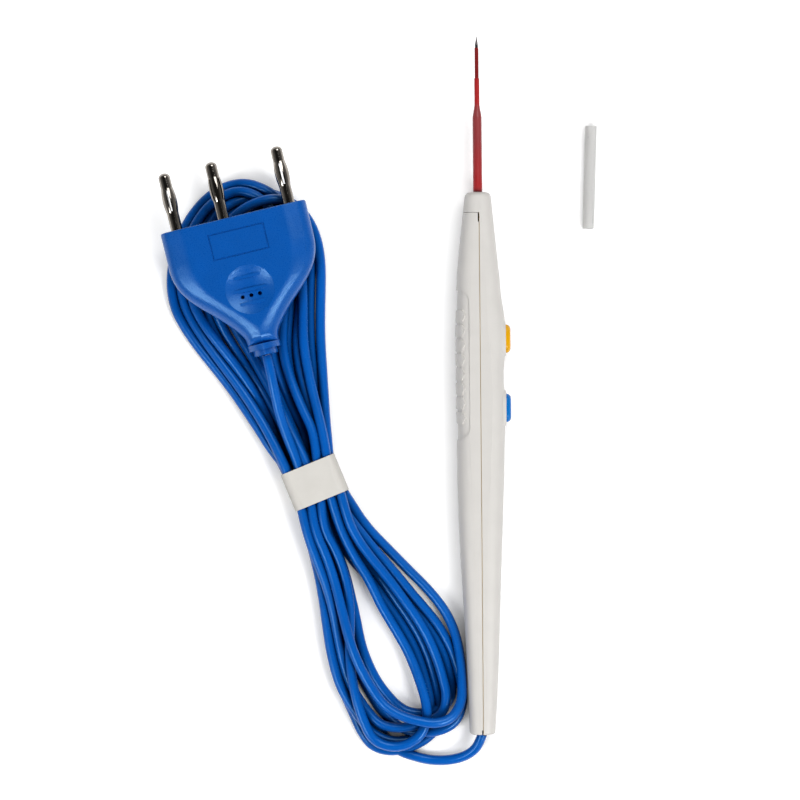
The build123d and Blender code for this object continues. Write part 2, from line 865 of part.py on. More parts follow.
pieces = {
    "housing_upper": upper_housing(shell, bores),
    "housing_lower": lower_housing(shell, bores),
    "switch_board": switch_board(),
    "electrode_socket": electrode_socket(),
    "needle_electrode": needle,
    "needle_insulation": insulation,
    "electrode_sleeve": electrode_sleeve(needle + insulation),
    "hex_collar": hex_collar(),
    "needle_guard": needle_guard(),
    "cord_jacket_inner": rod(cord_diameter, tail_y, jacket_end_y),
    "cord_anchor": cord_anchor(),
    "wire_active": socket_wire(),
    "wire_cut": board_wire("cut", 1),
    "wire_coag": board_wire("coag", -1),
    "cord_hank": cord_hank(),
    "cord_tie_band": tie_band(),
    "plug_body": plug_place * plug_body(carrier_room),
    "plug_pin_carrier": plug_place * pin_carrier(pin_roots),
}
for name, y in button_places.items():
    pieces[name + "_button"] = button(y)
    pieces[name + "_dome"] = snap_dome(y)
for name, pin in pins.items():
    pieces["pin_" + name] = plug_place * pin

plug_exit = [plug_place * Pos(0, -plug_reach - run, 0) for run in (0, plug_cord_run)]
cord_out_points = [tuple(place.position) for place in plug_exit] + cord_out_points
pieces["cord_lead_in"] = cord_tube("cord_lead_in", cord_in_points)
pieces["cord_lead_out"] = cord_tube("cord_lead_out", cord_out_points)

os.makedirs("parts", exist_ok=True)
for name, piece in pieces.items():
    export_step(piece, "parts/" + name + ".step")
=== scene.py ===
import json
import math

import bpy
import numpy as np
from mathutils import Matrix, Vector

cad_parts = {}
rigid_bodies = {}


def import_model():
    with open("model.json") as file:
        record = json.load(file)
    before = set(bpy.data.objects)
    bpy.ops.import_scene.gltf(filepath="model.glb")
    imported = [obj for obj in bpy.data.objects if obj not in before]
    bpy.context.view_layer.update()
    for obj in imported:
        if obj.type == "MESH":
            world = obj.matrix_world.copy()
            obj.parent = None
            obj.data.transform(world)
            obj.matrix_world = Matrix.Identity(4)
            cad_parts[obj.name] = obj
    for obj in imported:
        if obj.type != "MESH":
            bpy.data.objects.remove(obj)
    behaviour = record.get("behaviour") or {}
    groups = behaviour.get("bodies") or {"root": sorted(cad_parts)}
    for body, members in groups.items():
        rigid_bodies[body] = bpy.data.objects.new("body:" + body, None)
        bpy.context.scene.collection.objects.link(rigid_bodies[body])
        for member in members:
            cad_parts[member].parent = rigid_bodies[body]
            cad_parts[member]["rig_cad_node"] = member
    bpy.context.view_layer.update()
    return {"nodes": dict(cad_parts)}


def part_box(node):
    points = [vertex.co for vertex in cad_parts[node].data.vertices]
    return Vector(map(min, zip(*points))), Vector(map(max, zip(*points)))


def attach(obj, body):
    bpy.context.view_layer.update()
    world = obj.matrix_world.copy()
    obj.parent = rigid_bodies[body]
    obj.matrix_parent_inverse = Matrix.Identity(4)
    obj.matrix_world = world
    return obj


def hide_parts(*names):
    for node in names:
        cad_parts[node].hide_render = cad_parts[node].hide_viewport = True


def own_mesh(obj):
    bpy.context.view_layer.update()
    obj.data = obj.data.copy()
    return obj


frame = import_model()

nodes = frame["nodes"]

# Cord: its size, its two loose ends and the hank between them, in metres
cord_diameter = 0.0033
cord_radius = cord_diameter / 2
curve_steps = 5
curve_sides = 6
cord_in_points = [
    (0.0, -0.111, 0.0062),
    (-0.0012, -0.1146, 0.0056),
    (-0.0037, -0.1174, 0.0045),
    (-0.0075, -0.1193, 0.0032),
    (-0.0124, -0.1202, 0.0022),
    (-0.0178, -0.12, 0.0017),
    (-0.0232, -0.1186, 0.0017),
    (-0.0283, -0.1167, 0.0017),
]
cord_out_points = [
    (-0.07044, 0.01561, 0.01315),
    (-0.06926, 0.01055, 0.01315),
    (-0.0682, 0.005, 0.0124),
    (-0.0665, -0.0039, 0.0107),
    (-0.0637, -0.0124, 0.0092),
    (-0.0607, -0.02, 0.008),
]

# Bundle under the band: passes as (place across in cord diameters, layer from the bottom)
band_centre = (-0.05505, -0.0269)
band_turn = math.radians(22.0)
bundle_base = 0.0005
bundle_half = 0.0055
layer_rise = cord_diameter * math.sqrt(3) / 2
up_pass_shares = [
    (-2.25, 0),
    (-1.25, 0),
    (0.25, 1),
    (-1.75, 1),
    (-0.75, 1),
    (-2.15, 2),
    (0.0, 2),
    (-1.05, 2),
]
down_pass_shares = [(0.75, 0), (1.75, 0), (-0.25, 0), (1.25, 1), (2.05, 2), (1.0, 2), (2.25, 1)]

# Stations around each set of loops, as the innermost and the outermost place of the cord's middle
upper_stations = [
    ((-0.0605, -0.0125), (-0.0678, -0.0172)),
    ((-0.0632, -0.0060), (-0.0724, -0.0091)),
    ((-0.0665, 0.0015), (-0.0777, -0.0011)),
    ((-0.0702, 0.0085), (-0.0837, 0.0071)),
    ((-0.0740, 0.0160), (-0.0903, 0.0152)),
    ((-0.0780, 0.0240), (-0.0961, 0.0231)),
    ((-0.0810, 0.0320), (-0.1002, 0.0307)),
    ((-0.0830, 0.0395), (-0.1015, 0.0385)),
    ((-0.0840, 0.0460), (-0.1008, 0.0460)),
    ((-0.0840, 0.0515), (-0.0985, 0.0540)),
    ((-0.0815, 0.0560), (-0.0940, 0.0627)),
    ((-0.0780, 0.0585), (-0.0875, 0.0691)),
    ((-0.0745, 0.0592), (-0.0785, 0.0724)),
    ((-0.0712, 0.0580), (-0.0700, 0.0708)),
    ((-0.0688, 0.0550), (-0.0625, 0.0666)),
    ((-0.0675, 0.0505), (-0.0570, 0.0592)),
    ((-0.0670, 0.0450), (-0.0535, 0.0495)),
    ((-0.0672, 0.0380), (-0.05275, 0.0410)),
    ((-0.0675, 0.0300), (-0.05315, 0.0300)),
    ((-0.0688, 0.0200), (-0.0533, 0.0190)),
    ((-0.0670, 0.0090), (-0.05295, 0.0090)),
    ((-0.0630, -0.0010), (-0.0525, -0.0010)),
    ((-0.0577, -0.0095), (-0.0517, -0.0105)),
]
lower_stations = [
    ((-0.0488, -0.0445), (-0.0382, -0.0422)),
    ((-0.0440, -0.0525), (-0.0315, -0.0492)),
    ((-0.0380, -0.0595), (-0.0236, -0.0573)),
    ((-0.0330, -0.0680), (-0.0159, -0.0653)),
    ((-0.0282, -0.0760), (-0.0103, -0.0738)),
    ((-0.0238, -0.0845), (-0.0076, -0.0830)),
    ((-0.0206, -0.0925), (-0.0069, -0.0925)),
    ((-0.0190, -0.0985), (-0.0066, -0.1010)),
    ((-0.0193, -0.1023), (-0.0093, -0.1084)),
    ((-0.0215, -0.1038), (-0.0175, -0.1138)),
    ((-0.0255, -0.1026), (-0.0270, -0.1166)),
    ((-0.0300, -0.0990), (-0.0358, -0.1133)),
    ((-0.0346, -0.0938), (-0.0413, -0.1050)),
    ((-0.0380, -0.0875), (-0.0458, -0.0965)),
    ((-0.0409, -0.0805), (-0.0484, -0.0860)),
    ((-0.0422, -0.0735), (-0.0498, -0.0760)),
    ((-0.0436, -0.0666), (-0.0511, -0.0660)),
    ((-0.0450, -0.0586), (-0.0529, -0.0577)),
    ((-0.0473, -0.0505), (-0.0552, -0.0498)),
    ((-0.0510, -0.0435), (-0.0573, -0.0422)),
]

# Each loop's place between those two, at some of the stations, in the order of winding
upper_knots = [0, 4, 7, 10, 12, 14, 17, 20, 22]
upper_loop_shares = [
    (0.95, 0.62, 0.46, 0.50, 0.60, 0.50, 0.35, 0.30, 0.35),
    (0.60, 0.60, 0.80, 0.75, 0.75, 0.90, 0.70, 0.85, 0.80),
    (0.10, 0.00, 0.15, 0.25, 0.25, 0.20, 0.00, 0.00, 0.00),
    (1.00, 1.00, 1.00, 1.00, 1.00, 0.80, 0.55, 0.50, 0.60),
    (0.45, 0.40, 0.38, 0.60, 0.70, 0.65, 0.62, 0.72, 0.85),
    (0.90, 0.80, 0.85, 0.85, 0.85, 0.50, 0.25, 0.30, 0.50),
    (0.20, 0.08, 0.20, 0.25, 0.45, 1.00, 1.00, 1.00, 1.00),
]
lower_knots = [0, 3, 5, 7, 8, 9, 11, 13, 16, 19]
lower_loop_shares = [
    (0.40, 0.30, 0.30, 0.35, 0.55, 0.75, 0.90, 0.85, 0.80, 0.60),
    (0.66, 0.54, 0.70, 0.72, 0.44, 0.15, 0.00, 0.00, 0.00, 0.10),
    (0.05, 0.20, 0.25, 0.30, 0.40, 0.60, 0.85, 0.95, 0.95, 0.90),
    (0.68, 0.52, 0.78, 1.00, 0.96, 0.70, 0.42, 0.42, 0.52, 0.60),
    (0.62, 0.46, 0.50, 0.60, 0.60, 0.50, 0.68, 0.78, 1.00, 1.00),
    (0.30, 0.00, 0.00, 0.00, 0.12, 0.60, 1.00, 0.70, 0.12, 0.20),
    (1.00, 1.00, 1.00, 0.97, 0.75, 0.28, 0.24, 0.26, 0.50, 0.75),
]

# The stretch from the handle to the band, which joins the lower loops at one of their stations
first_station = 12
first_knots = [12, 14, 16, 18, 19]
first_shares = (0.85, 0.75, 0.70, 0.80, 0.95)

# How much higher each turn starts than the last, and how far apart its points are
loop_rise = 0.0009
loop_spacing = 0.006

# Settling of the wound cord
settle_rounds = 500
samples_per_span = 3
skipped_samples = 12
contact_share = 1.01
contact = cord_diameter * contact_share
contact_margin = 0.0025
bend_share = 0.25
hold_share = 0.02
fall = 0.00006
slow_fall = 0.00001
slow_share = 0.85
search_interval = 10
least_weight = 0.25

# What the loops lie under and beside
plug_centre = (-0.081, 0.061)
plug_turn = math.radians(13.1)
plug_half_width = 0.0265
plug_shoulder = -0.020
plug_back = -0.046
plug_slope = 0.8
plug_neck_half = 0.007
plug_underside = 0.0079
handle_side_y = -0.102
handle_side = 0.00455
handle_slope = 0.0437
handle_reach = (-0.113, -0.06)


def smooth(place, places, values):
    """A smooth curve through values at uneven places."""
    places = np.asarray(places, float)
    values = np.asarray(values, float)
    slopes = np.gradient(values, places, axis=0)
    i = np.clip(np.searchsorted(places, place, side="right") - 1, 0, len(places) - 2)
    gap = places[i + 1] - places[i]
    t = (place - places[i]) / gap
    ends = (1 + 2 * t) * (1 - t) ** 2 * values[i] + t * t * (3 - 2 * t) * values[i + 1]
    bends = t * (1 - t) ** 2 * slopes[i] + t * t * (t - 1) * slopes[i + 1]
    return ends + gap * bends


def bundle_point(place, along):
    """A point of one pass through the band."""
    across, layer = place
    right = np.array([math.cos(band_turn), math.sin(band_turn)])
    up = np.array([-math.sin(band_turn), math.cos(band_turn)])
    x, y = np.array(band_centre) + across * cord_diameter * right + along * up
    return np.array([x, y, bundle_base + cord_radius + layer * layer_rise])


def loop_points(stations, first, knots, shares, height, start, end):
    """A loop's points, evenly spaced, between two ends that other points hold."""
    inner = np.array([pair[0] for pair in stations[first:]])
    outer = np.array([pair[1] for pair in stations[first:]])
    weights = np.array([smooth(first + i, knots, shares) for i in range(len(inner))])
    middle = inner + weights[:, None] * (outer - inner)
    line = np.vstack([start, np.insert(middle, 2, height, axis=1), end])
    steps = np.linalg.norm(np.diff(line[:, :2], axis=0), axis=1)
    reach = np.concatenate([[0], np.cumsum(steps)])
    count = int(round(reach[-1] / loop_spacing))
    return np.array([smooth(s, reach, line) for s in np.linspace(0, reach[-1], count + 1)[1:-1]])


def wound_points():
    """The cord's points from the handle to the plug, and which of them are held."""
    places = [-bundle_half, 0.0, bundle_half]
    blocks = [(np.array(cord_in_points), True)]
    turns = len(down_pass_shares)
    start = np.array(cord_in_points[-1])
    end = bundle_point(up_pass_shares[0], places[0])
    lead = loop_points(lower_stations, first_station, first_knots, first_shares, cord_radius, start, end)
    blocks.append((lead, False))
    for turn in range(turns):
        up, down, after = up_pass_shares[turn], down_pass_shares[turn], up_pass_shares[turn + 1]
        height = cord_radius + turn * loop_rise
        blocks.append((np.array([bundle_point(up, along) for along in places]), True))
        ends = bundle_point(up, places[-1]), bundle_point(down, places[-1])
        shares = upper_loop_shares[turn]
        blocks.append((loop_points(upper_stations, 0, upper_knots, shares, height, *ends), False))
        blocks.append((np.array([bundle_point(down, along) for along in places[::-1]]), True))
        ends = bundle_point(down, places[0]), bundle_point(after, places[0])
        shares = lower_loop_shares[turn]
        blocks.append((loop_points(lower_stations, 0, lower_knots, shares, height, *ends), False))
    last = [bundle_point(up_pass_shares[-1], along) for along in places[:-1]]
    blocks.append((np.array(last), True))
    blocks.append((np.array(cord_out_points[::-1]), True))
    points = np.vstack([block for block, held in blocks])
    held = np.concatenate([np.full(len(block), held) for block, held in blocks])
    return points, held


def spline_samples(count):
    """Where each sample of a quadratic spline starts, and the weights of its three points."""
    starts = np.repeat(np.arange(count - 2), samples_per_span)
    t = np.tile((np.arange(samples_per_span) + 0.5) / samples_per_span, count - 2)
    return starts, np.stack([0.5 * (1 - t) ** 2, 0.5 + t - t * t, 0.5 * t * t], axis=1)


def near_pairs(samples):
    """Pairs of samples that are close together but not neighbours along the cord."""
    squares = (samples**2).sum(axis=1)
    apart = squares[:, None] + squares[None, :] - 2 * samples @ samples.T
    near = np.triu(apart < (contact + contact_margin) ** 2, skipped_samples)
    return np.nonzero(near)


def sample_moves(samples, pairs):
    """How far each sample moves out of those that it overlaps, and how many those are."""
    first, second = pairs
    gap = samples[first] - samples[second]
    apart = np.linalg.norm(gap, axis=1)
    hit = apart < contact
    push = gap[hit] * ((contact / apart[hit] - 1) / 2)[:, None]
    moves = np.zeros_like(samples)
    touches = np.zeros(len(samples))
    for index, sign in ((first[hit], 1), (second[hit], -1)):
        np.add.at(moves, index, sign * push)
        np.add.at(touches, index, 1)
    return moves / np.sqrt(np.maximum(touches, 1))[:, None], touches


def point_moves(moves, touches, starts, weights, count):
    """The samples' moves, shared out over the spline's points."""
    change = np.zeros((count, 3))
    total = np.zeros(count)
    for k in range(3):
        np.add.at(change, starts + k, weights[:, k : k + 1] * moves)
        np.add.at(total, starts + k, weights[:, k] * (touches > 0))
    return change / np.maximum(total, least_weight)[:, None]


def bend(points):
    """How far each point is from the middle of its two neighbours."""
    bent = np.zeros_like(points)
    bent[1:-1] = (points[:-2] + points[2:]) / 2 - points[1:-1]
    return bent


def keep_clear(points, free):
    """Keeps the loops on the surface, under the plug and beside the handle."""
    points[:, 2] = np.where(free, np.maximum(points[:, 2], cord_radius), points[:, 2])
    offset = points[:, :2] - np.array(plug_centre)
    cosine, sine = math.cos(plug_turn), math.sin(plug_turn)
    across = offset[:, 0] * cosine + offset[:, 1] * sine
    along = offset[:, 1] * cosine - offset[:, 0] * sine
    half = plug_half_width + plug_slope * np.minimum(along - plug_shoulder, 0)
    under = free & (along < 0) & (along > plug_back)
    under &= np.abs(across) < np.maximum(half, plug_neck_half)
    points[under, 2] = np.minimum(points[under, 2], plug_underside - cord_radius)
    side = -handle_side - handle_slope * (points[:, 1] - handle_side_y) - cord_radius
    beside = free & (points[:, 1] > handle_reach[0]) & (points[:, 1] < handle_reach[1])
    points[beside, 0] = np.minimum(points[beside, 0], side[beside])


def settle(points, held):
    """Lets the wound cord fall into place without passing through itself."""
    rest = points.copy()
    free = ~held
    loose = free[:, None].astype(float)
    starts, weights = spline_samples(len(points))
    wound = bend(rest) * (1, 1, 0)
    for step in range(settle_rounds):
        samples = sum(weights[:, k : k + 1] * points[starts + k] for k in range(3))
        if step % search_interval == 0:
            pairs = near_pairs(samples)
        moves, touches = sample_moves(samples, pairs)
        points = points + loose * point_moves(moves, touches, starts, weights, len(points))
        points = points + loose * bend_share * (bend(points) - wound)
        points[:, :2] += loose * hold_share * (rest - points)[:, :2]
        points[:, 2] -= free * (fall if step < slow_share * settle_rounds else slow_fall)
        keep_clear(points, free)
    return points


def build_cord():
    """The whole cord as one smooth line: the handle's end, the hank and the plug's end."""
    points, held = wound_points()
    points = settle(points, held)
    data = bpy.data.curves.new("cord", "CURVE")
    data.dimensions = "3D"
    spline = data.splines.new("NURBS")
    spline.points.add(len(points) - 1)
    for point, place in zip(spline.points, points):
        point.co = (*place, 1)
    spline.order_u = 3
    spline.use_endpoint_u = True
    data.resolution_u = curve_steps
    data.bevel_depth = cord_radius
    data.bevel_resolution = curve_sides
    data.use_fill_caps = True
    cord = bpy.data.objects.new("cord", data)
    bpy.context.scene.collection.objects.link(cord)
    return cord


# Materials: linear colours, sizes in metres, and the span that most of a noise lies in
noise_span = (0.3, 0.7)
fine_detail = 4.0
occlusion_samples = 8
button_yellow = (0.78, 0.39, 0.001)
button_blue = (0.004, 0.17, 0.55)
carrier_grey = (0.3, 0.31, 0.32)
insulation_red = (0.2, 0.002, 0.003)
board_green = (0.02, 0.13, 0.05)
wire_grey = (0.42, 0.43, 0.44)
pin_nickel = (0.3, 0.275, 0.245)
needle_steel = (0.1, 0.09, 0.095)
socket_brass = (0.75, 0.52, 0.22)
dome_steel = (0.6, 0.6, 0.6)
metal_patch = 0.004
metal_shades = (0.8, 1.1)

# Cord's jacket, and the painted shade that darkens its colour between the strands
cord_blue = (0.0006, 0.1, 0.46)
crevice_painted_shade = (0.0003, 0.01, 0.045)
painted_shade_reach = 0.006
blue_gloss = (0.36, 0.7, 1.0)

# Sleeve's reds at shares of its length, and its fine wrinkles
sleeve_reds = [
    (0.0, (0.12, 0.004, 0.005)),
    (0.025, (0.37, 0.01, 0.012)),
    (0.25, (0.34, 0.015, 0.018)),
    (0.45, (0.28, 0.03, 0.033)),
    (0.72, (0.27, 0.03, 0.033)),
    (0.79, (0.38, 0.003, 0.005)),
    (1.0, (0.38, 0.002, 0.004)),
]
sleeve_wrinkle = 0.0009
sleeve_stretch = (1, 0.35, 1)
sleeve_rough = (0.32, 0.5)
sleeve_relief = 0.00004

# Guard tube and paper band
guard_whites = ((0.8, 0.795, 0.78), (0.88, 0.875, 0.86))
guard_streak = 0.002
guard_stretch = (1, 0.1, 1)
guard_rough = (0.25, 0.38)
guard_relief = 0.00001
guard_clearness = 0.4
guard_index = 1.45
paper_whites = ((0.63, 0.61, 0.57), (0.66, 0.64, 0.6))
paper_fibre = 0.0006
paper_detail = 6.0
paper_patch = 0.005
paper_rough = (0.6, 0.8)
paper_relief = 0.00003

# Handle, and the golden line along its seam
handle_white = (0.65, 0.63, 0.6)
seam_gold = (0.7, 0.56, 0.36)
seam_x = 0.00025
seam_line = 0.0001
seam_fade = 0.00008
seam_top = 0.0622

# Plug: its outline as shares along its shoulders and across them, and its finger dish
plug_blue = (0.0005, 0.084, 0.4)
shoulder_ends = (-0.0428, -0.012)
shoulder_half = 0.0245
shoulder_shares = [(0.0, 0.212), (0.12, 0.248), (0.227, 0.347), (0.354, 0.497)]
shoulder_shares += [(0.5, 0.686), (0.64, 0.845), (0.808, 0.957), (1.0, 1.0)]
shoulder_round_share = 0.33
shoulder_drop = 0.0018
dish_y = -0.0246
dish_radius = 0.0081
dish_power = 2.0
dish_share = 0.45


def parts_of(material):
    """A material's node tree, its shader, and texture coordinates in metres."""
    tree = material.node_tree
    return tree, tree.nodes["Principled BSDF"], tree.nodes["Texture Coordinate"].outputs["Object"]


def start_material(name):
    """A new material and its parts."""
    material = bpy.data.materials.new(name)
    material.use_nodes = True
    material.node_tree.nodes.new("ShaderNodeTexCoord")
    return material, *parts_of(material)


def source_of(socket):
    """What is linked to a socket."""
    return socket.links[0].from_socket


def add_noise(tree, coordinates, size, detail=3.0, stretch=None):
    """Noise whose features have about the given size in metres."""
    noise = tree.nodes.new("ShaderNodeTexNoise")
    noise.inputs["Scale"].default_value = 1 / size
    noise.inputs["Detail"].default_value = detail
    if stretch:
        mapping = tree.nodes.new("ShaderNodeMapping")
        mapping.inputs["Scale"].default_value = stretch
        tree.links.new(coordinates, mapping.inputs["Vector"])
        coordinates = mapping.outputs["Vector"]
    tree.links.new(coordinates, noise.inputs["Vector"])
    return noise.outputs["Fac"]


def add_ramp(tree, factor, stops):
    """Colours along a factor, from stops of (place, colour)."""
    ramp = tree.nodes.new("ShaderNodeValToRGB")
    elements = ramp.color_ramp.elements
    while len(elements) < len(stops):
        elements.new(0.5)
    for element, (place, colour) in zip(elements, stops):
        element.position = place
        element.color = (*colour, 1)
    tree.links.new(factor, ramp.inputs["Fac"])
    return ramp.outputs["Color"]


def add_mottle(tree, noise, first, second):
    """A colour that wanders between two with the noise."""
    return add_ramp(tree, noise, list(zip(noise_span, (first, second))))


def add_step(tree, factor, low, high, start=0.0, interpolation="LINEAR"):
    """A number that rises from start to 1 as the factor goes from low to high."""
    node = tree.nodes.new("ShaderNodeMapRange")
    node.interpolation_type = interpolation
    node.inputs["From Min"].default_value = low
    node.inputs["From Max"].default_value = high
    node.inputs["To Min"].default_value = start
    tree.links.new(factor, node.inputs["Value"])
    return node.outputs["Result"]


def add_math(tree, operation, first, second=None):
    """A sum over one or two sockets; a plain number goes straight on its socket."""
    node = tree.nodes.new("ShaderNodeMath")
    node.operation = operation
    tree.links.new(first, node.inputs[0])
    if isinstance(second, float):
        node.inputs[1].default_value = second
    elif second is not None:
        tree.links.new(second, node.inputs[1])
    return node.outputs["Value"]


def add_mix(tree, factor, first, second):
    """A colour between two; a plain colour goes straight on its socket."""
    node = tree.nodes.new("ShaderNodeMix")
    node.data_type = "RGBA"
    tree.links.new(factor, node.inputs["Factor"])
    for socket, colour in ((node.inputs[6], first), (node.inputs[7], second)):
        if isinstance(colour, tuple):
            socket.default_value = (*colour, 1)
        else:
            tree.links.new(colour, socket)
    return node.outputs[2]


def add_split(tree, vector):
    """A vector's three parts."""
    node = tree.nodes.new("ShaderNodeSeparateXYZ")
    tree.links.new(vector, node.inputs["Vector"])
    return node.outputs["X"], node.outputs["Y"], node.outputs["Z"]


def add_distance(tree, vector, place):
    """How far a vector is from a place."""
    node = tree.nodes.new("ShaderNodeVectorMath")
    node.operation = "DISTANCE"
    node.inputs[1].default_value = place
    tree.links.new(vector, node.inputs[0])
    return node.outputs["Value"]


def add_open_air(tree, reach):
    """How open the surroundings are within a reach, from 0 in a crevice to 1."""
    node = tree.nodes.new("ShaderNodeAmbientOcclusion")
    node.samples = occlusion_samples
    node.inputs["Distance"].default_value = reach
    return node.outputs["AO"]


def add_relief(tree, shader, height, depth):
    """Relief of the given depth in metres, under any that is there already."""
    bump = tree.nodes.new("ShaderNodeBump")
    bump.inputs["Distance"].default_value = depth
    tree.links.new(height, bump.inputs["Height"])
    normal = shader.inputs["Normal"]
    if normal.links:
        normal = normal.links[0].from_node.inputs["Normal"]
    tree.links.new(bump.outputs["Normal"], normal)


def add_surface(tree, shader, noise, rough, depth):
    """Uneven gloss and fine relief from one noise."""
    node = tree.nodes.new("ShaderNodeMapRange")
    node.inputs["From Min"].default_value = noise_span[0]
    node.inputs["From Max"].default_value = noise_span[1]
    node.inputs["To Min"].default_value = rough[0]
    node.inputs["To Max"].default_value = rough[1]
    tree.links.new(noise, node.inputs["Value"])
    tree.links.new(node.outputs["Result"], shader.inputs["Roughness"])
    add_relief(tree, shader, noise, depth)


def shade(colour, factor):
    """A colour made lighter or darker."""
    return tuple(min(channel * factor, 1.0) for channel in colour)


def moulded(
    name,
    colour,
    rough=(0.3, 0.4),
    grain=0.0004,
    depth=0.00001,
    mottle=0.006,
    spread=0.06,
    specular=0.5,
):
    """Moulded plastic: fine grain, a soft mottle and uneven gloss."""
    material, tree, shader, coordinates = start_material(name)
    patches = add_noise(tree, coordinates, mottle)
    mottled = add_mottle(tree, patches, shade(colour, 1 - spread), shade(colour, 1 + spread))
    tree.links.new(mottled, shader.inputs["Base Color"])
    add_surface(tree, shader, add_noise(tree, coordinates, grain, detail=fine_detail), rough, depth)
    shader.inputs["Specular IOR Level"].default_value = specular
    return material


def metal(name, colour, rough=(0.12, 0.25), grain=0.0003, stretch=(1, 0.08, 1), depth=0.000004):
    """Plated or drawn metal with fine marks along it."""
    material, tree, shader, coordinates = start_material(name)
    shader.inputs["Metallic"].default_value = 1.0
    patches = add_noise(tree, coordinates, metal_patch)
    mottled = add_mottle(tree, patches, *(shade(colour, factor) for factor in metal_shades))
    tree.links.new(mottled, shader.inputs["Base Color"])
    marks = add_noise(tree, coordinates, grain, detail=fine_detail, stretch=stretch)
    add_surface(tree, shader, marks, rough, depth)
    return material


def cord_material():
    """The cord's satin blue jacket, with shade painted into its colour down between the strands."""
    look = {"rough": (0.23, 0.28), "grain": 0.0005, "depth": 0.000003, "mottle": 0.012, "specular": 0.45}
    material = moulded("cord_blue", cord_blue, **look)
    tree, shader, _ = parts_of(material)
    shader.inputs["Specular Tint"].default_value = (*blue_gloss, 1)
    colour = shader.inputs["Base Color"]
    # Painted shade: the colour goes to dark blue where the strands close in around a point
    open_air = add_open_air(tree, painted_shade_reach)
    tree.links.new(add_mix(tree, open_air, crevice_painted_shade, source_of(colour)), colour)
    return material


def sleeve_material():
    """Shrunk red sleeve: dusky over the shank and brighter over the needle."""
    material, tree, shader, coordinates = start_material("sleeve_red")
    low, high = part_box("electrode_sleeve")
    _, y, _ = add_split(tree, coordinates)
    along = add_step(tree, y, low.y, high.y)
    tree.links.new(add_ramp(tree, along, sleeve_reds), shader.inputs["Base Color"])
    wrinkles = add_noise(tree, coordinates, sleeve_wrinkle, stretch=sleeve_stretch)
    add_surface(tree, shader, wrinkles, sleeve_rough, sleeve_relief)
    return material


def guard_material():
    """The guard's cloudy white plastic."""
    material, tree, shader, coordinates = start_material("guard_cloudy")
    streaks = add_noise(tree, coordinates, guard_streak, stretch=guard_stretch)
    tree.links.new(add_mottle(tree, streaks, *guard_whites), shader.inputs["Base Color"])
    add_surface(tree, shader, streaks, guard_rough, guard_relief)
    shader.inputs["Transmission Weight"].default_value = guard_clearness
    shader.inputs["IOR"].default_value = guard_index
    return material


def paper_material():
    """The band's white paper, with fibres and a faint warm mottle."""
    material, tree, shader, coordinates = start_material("band_paper")
    patches = add_noise(tree, coordinates, paper_patch)
    tree.links.new(add_mottle(tree, patches, *paper_whites), shader.inputs["Base Color"])
    fibres = add_noise(tree, coordinates, paper_fibre, detail=paper_detail)
    add_surface(tree, shader, fibres, paper_rough, paper_relief)
    return material


def handle_material():
    """The handle's warm white plastic, with a thin golden line along its seam."""
    look = {"rough": (0.38, 0.5), "grain": 0.00045, "depth": 0.00002, "spread": 0.015}
    material = moulded("handle_white", handle_white, **look)
    tree, shader, coordinates = parts_of(material)
    x, y, _ = add_split(tree, coordinates)
    distance = add_math(tree, "ABSOLUTE", add_math(tree, "SUBTRACT", x, seam_x))
    near = add_step(tree, distance, seam_line + seam_fade, seam_line)
    line = add_math(tree, "MULTIPLY", near, add_math(tree, "LESS_THAN", y, seam_top))
    colour = shader.inputs["Base Color"]
    tree.links.new(add_mix(tree, line, source_of(colour), seam_gold), colour)
    return material


def plug_shape(tree, coordinates):
    """The height of the plug's face, which drops at its shoulders and in its finger dish."""
    place = tree.nodes.new("ShaderNodeMapping")
    place.vector_type = "TEXTURE"
    place.inputs["Location"].default_value = (*plug_centre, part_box("plug_body")[1].z)
    place.inputs["Rotation"].default_value = (0, 0, plug_turn)
    tree.links.new(coordinates, place.inputs["Vector"])
    x, y, _ = add_split(tree, place.outputs["Vector"])
    halves = [(at, (half,) * 3) for at, half in shoulder_shares]
    outline = add_ramp(tree, add_step(tree, y, *shoulder_ends), halves)
    outline.node.color_ramp.interpolation = "B_SPLINE"
    across = add_math(tree, "MULTIPLY", add_math(tree, "ABSOLUTE", x), 1 / shoulder_half)
    inward = add_math(tree, "SUBTRACT", outline, across)
    shoulder = add_step(tree, inward, 0.0, shoulder_round_share, interpolation="SMOOTHSTEP")
    from_dish = add_distance(tree, place.outputs["Vector"], (0, dish_y, 0))
    dish = add_math(tree, "POWER", add_step(tree, from_dish, 0.0, dish_radius), dish_power)
    return add_math(tree, "ADD", shoulder, add_math(tree, "MULTIPLY", dish, dish_share))


def plug_material():
    """The plug's blue plastic, shaded with rounder shoulders and a deeper finger dish."""
    look = {"rough": (0.25, 0.33), "grain": 0.0003, "depth": 0.00004, "spread": 0.04, "specular": 0.75}
    material = moulded("plug_blue", plug_blue, **look)
    tree, shader, coordinates = parts_of(material)
    shader.inputs["Specular Tint"].default_value = (*blue_gloss, 1)
    add_relief(tree, shader, plug_shape(tree, coordinates), shoulder_drop)
    return material


